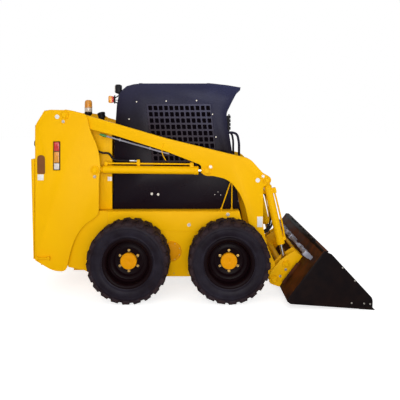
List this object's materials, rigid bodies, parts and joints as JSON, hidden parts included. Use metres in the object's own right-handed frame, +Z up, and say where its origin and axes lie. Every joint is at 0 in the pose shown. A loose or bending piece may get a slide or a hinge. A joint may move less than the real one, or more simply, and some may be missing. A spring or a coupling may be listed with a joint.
{
  "type": "skid steer loader",
  "caption": "Compact wheeled loader with two side arms that lift from rear towers, a tilting bucket in front and a caged cab between the arms.",
  "frame": {"origin": "middle of the bounding box at ground level", "axes": "+X forwards to the bucket, +Y to the machine's left, +Z up"},
  "size_m": [3.2638, 1.83, 2.108],
  "materials": {
    "yellow_paint": "gloss paint, dusty",
    "cab_paint": "semi-gloss black paint",
    "bucket_steel": "worn black paint with rust",
    "black_steel": "satin black paint",
    "tyre_rubber": "matt rubber, dusty",
    "rim_paint": "gloss black paint",
    "rod_chrome": "polished",
    "engine_iron": "rough",
    "seat_vinyl": "grained vinyl",
    "amber_lens": "clear amber",
    "window": "tinted"
  },
  "bodies": {
    "root": {"chassis": "yellow_paint", "engine_block": "engine_iron", "cab_roof": "cab_paint", "cab_back": "cab_paint", "rear_window": "window", "seat_base": "black_steel", "seat_cushion": "seat_vinyl", "seat_back": "seat_vinyl", "tower_right": "yellow_paint", "tower_left": "yellow_paint", "cab_side_right": "cab_paint", "cab_side_left": "cab_paint", "side_screen_right": "cab_paint", "side_screen_left": "cab_paint", "grab_handle_right": "cab_paint", "grab_handle_left": "cab_paint", "stay_right": "yellow_paint", "stay_left": "yellow_paint", "control_lever_right": "black_steel", "control_lever_left": "black_steel", "axle_front_right": "yellow_paint", "axle_front_left": "yellow_paint", "axle_rear_right": "yellow_paint", "axle_rear_left": "yellow_paint"},
    "engine_lid": {"engine_lid": "yellow_paint", "beacon": "amber_lens", "intake_cap": "black_steel"},
    "rear_door": {"rear_door": "yellow_paint"},
    "lap_bar": {"lap_bar": "black_steel"},
    "arms": {"arm_right": "yellow_paint", "arm_left": "yellow_paint", "arm_cross_tube": "yellow_paint"},
    "lift_barrels": {"lift_barrel_right": "yellow_paint", "lift_barrel_left": "yellow_paint"},
    "lift_rods": {"lift_rod_right": "rod_chrome", "lift_rod_left": "rod_chrome"},
    "tilt_barrels": {"tilt_barrel_right": "yellow_paint", "tilt_barrel_left": "yellow_paint"},
    "tilt_rods": {"tilt_rod_right": "rod_chrome", "tilt_rod_left": "rod_chrome"},
    "bucket": {"coupler": "yellow_paint", "bucket": "bucket_steel", "cutting_edge": "bucket_steel"},
    "wheel_front_right": {"tyre_front_right": "tyre_rubber", "rim_front_right": "rim_paint"},
    "wheel_front_left": {"tyre_front_left": "tyre_rubber", "rim_front_left": "rim_paint"},
    "wheel_rear_right": {"tyre_rear_right": "tyre_rubber", "rim_rear_right": "rim_paint"},
    "wheel_rear_left": {"tyre_rear_left": "tyre_rubber", "rim_rear_left": "rim_paint"}
  },
  "joints": [
    {"name": "arms_lift", "type": "hinge", "parent": "root", "child": "arms", "pos_m": [-1.296, 0, 1.783], "axis": [0, -1, 0], "range_deg": [0, 59]},
    {"name": "lift_barrels_swing", "type": "hinge", "parent": "root", "child": "lift_barrels", "pos_m": [-0.995, 0, 1.24], "axis": [0, -1, 0], "range_deg": [0, 59.1]},
    {"name": "lift_rods_slide", "type": "slide", "parent": "lift_barrels", "child": "lift_rods", "axis": [0.9999, 0, -0.0109], "range_m": [0, 0.612]},
    {"name": "bucket_tilt", "type": "hinge", "parent": "arms", "child": "bucket", "pos_m": [0.77, 0, 0.162], "axis": [0, 1, 0], "range_deg": [-26, 95]},
    {"name": "tilt_barrels_swing", "type": "hinge", "parent": "arms", "child": "tilt_barrels", "pos_m": [0.703, 0, 1.137], "axis": [0, 1, 0], "range_deg": [-1, 1]},
    {"name": "tilt_rods_slide", "type": "slide", "parent": "tilt_barrels", "child": "tilt_rods", "axis": [0.2218, 0, -0.9751], "range_m": [-0.0785, 0.285]},
    {"name": "engine_lid_lift", "type": "hinge", "parent": "root", "child": "engine_lid", "pos_m": [-0.878, 0, 1.655], "axis": [0, 1, 0], "range_deg": [0, 40]},
    {"name": "rear_door_swing", "type": "hinge", "parent": "root", "child": "rear_door", "pos_m": [-1.602, 0.568, 0.85], "axis": [0, 0, -1], "range_deg": [0, 105]},
    {"name": "lap_bar_lift", "type": "hinge", "parent": "root", "child": "lap_bar", "pos_m": [-0.528, 0, 1.33], "axis": [0, -1, 0], "range_deg": [0, 75]},
    {"name": "wheel_front_right_spin", "type": "hinge", "parent": "root", "child": "wheel_front_right", "pos_m": [0.315, -0.69, 0.39], "axis": [0, 1, 0], "continuous": true},
    {"name": "wheel_front_left_spin", "type": "hinge", "parent": "root", "child": "wheel_front_left", "pos_m": [0.315, 0.69, 0.39], "axis": [0, 1, 0], "continuous": true},
    {"name": "wheel_rear_right_spin", "type": "hinge", "parent": "root", "child": "wheel_rear_right", "pos_m": [-0.638, -0.69, 0.39], "axis": [0, 1, 0], "continuous": true},
    {"name": "wheel_rear_left_spin", "type": "hinge", "parent": "root", "child": "wheel_rear_left", "pos_m": [-0.638, 0.69, 0.39], "axis": [0, 1, 0], "continuous": true}
  ],
  "couplings": [
    {"joint": "lift_barrels_swing", "follows": "arms_lift", "ratio": 1},
    {"joint": "lift_rods_slide", "follows": "arms_lift", "m_per_rad": 0.59378},
    {"joint": "tilt_barrels_swing", "follows": "bucket_tilt", "ratio": -0.01},
    {"joint": "tilt_rods_slide", "follows": "bucket_tilt", "m_per_rad": 0.17153}
  ]
}
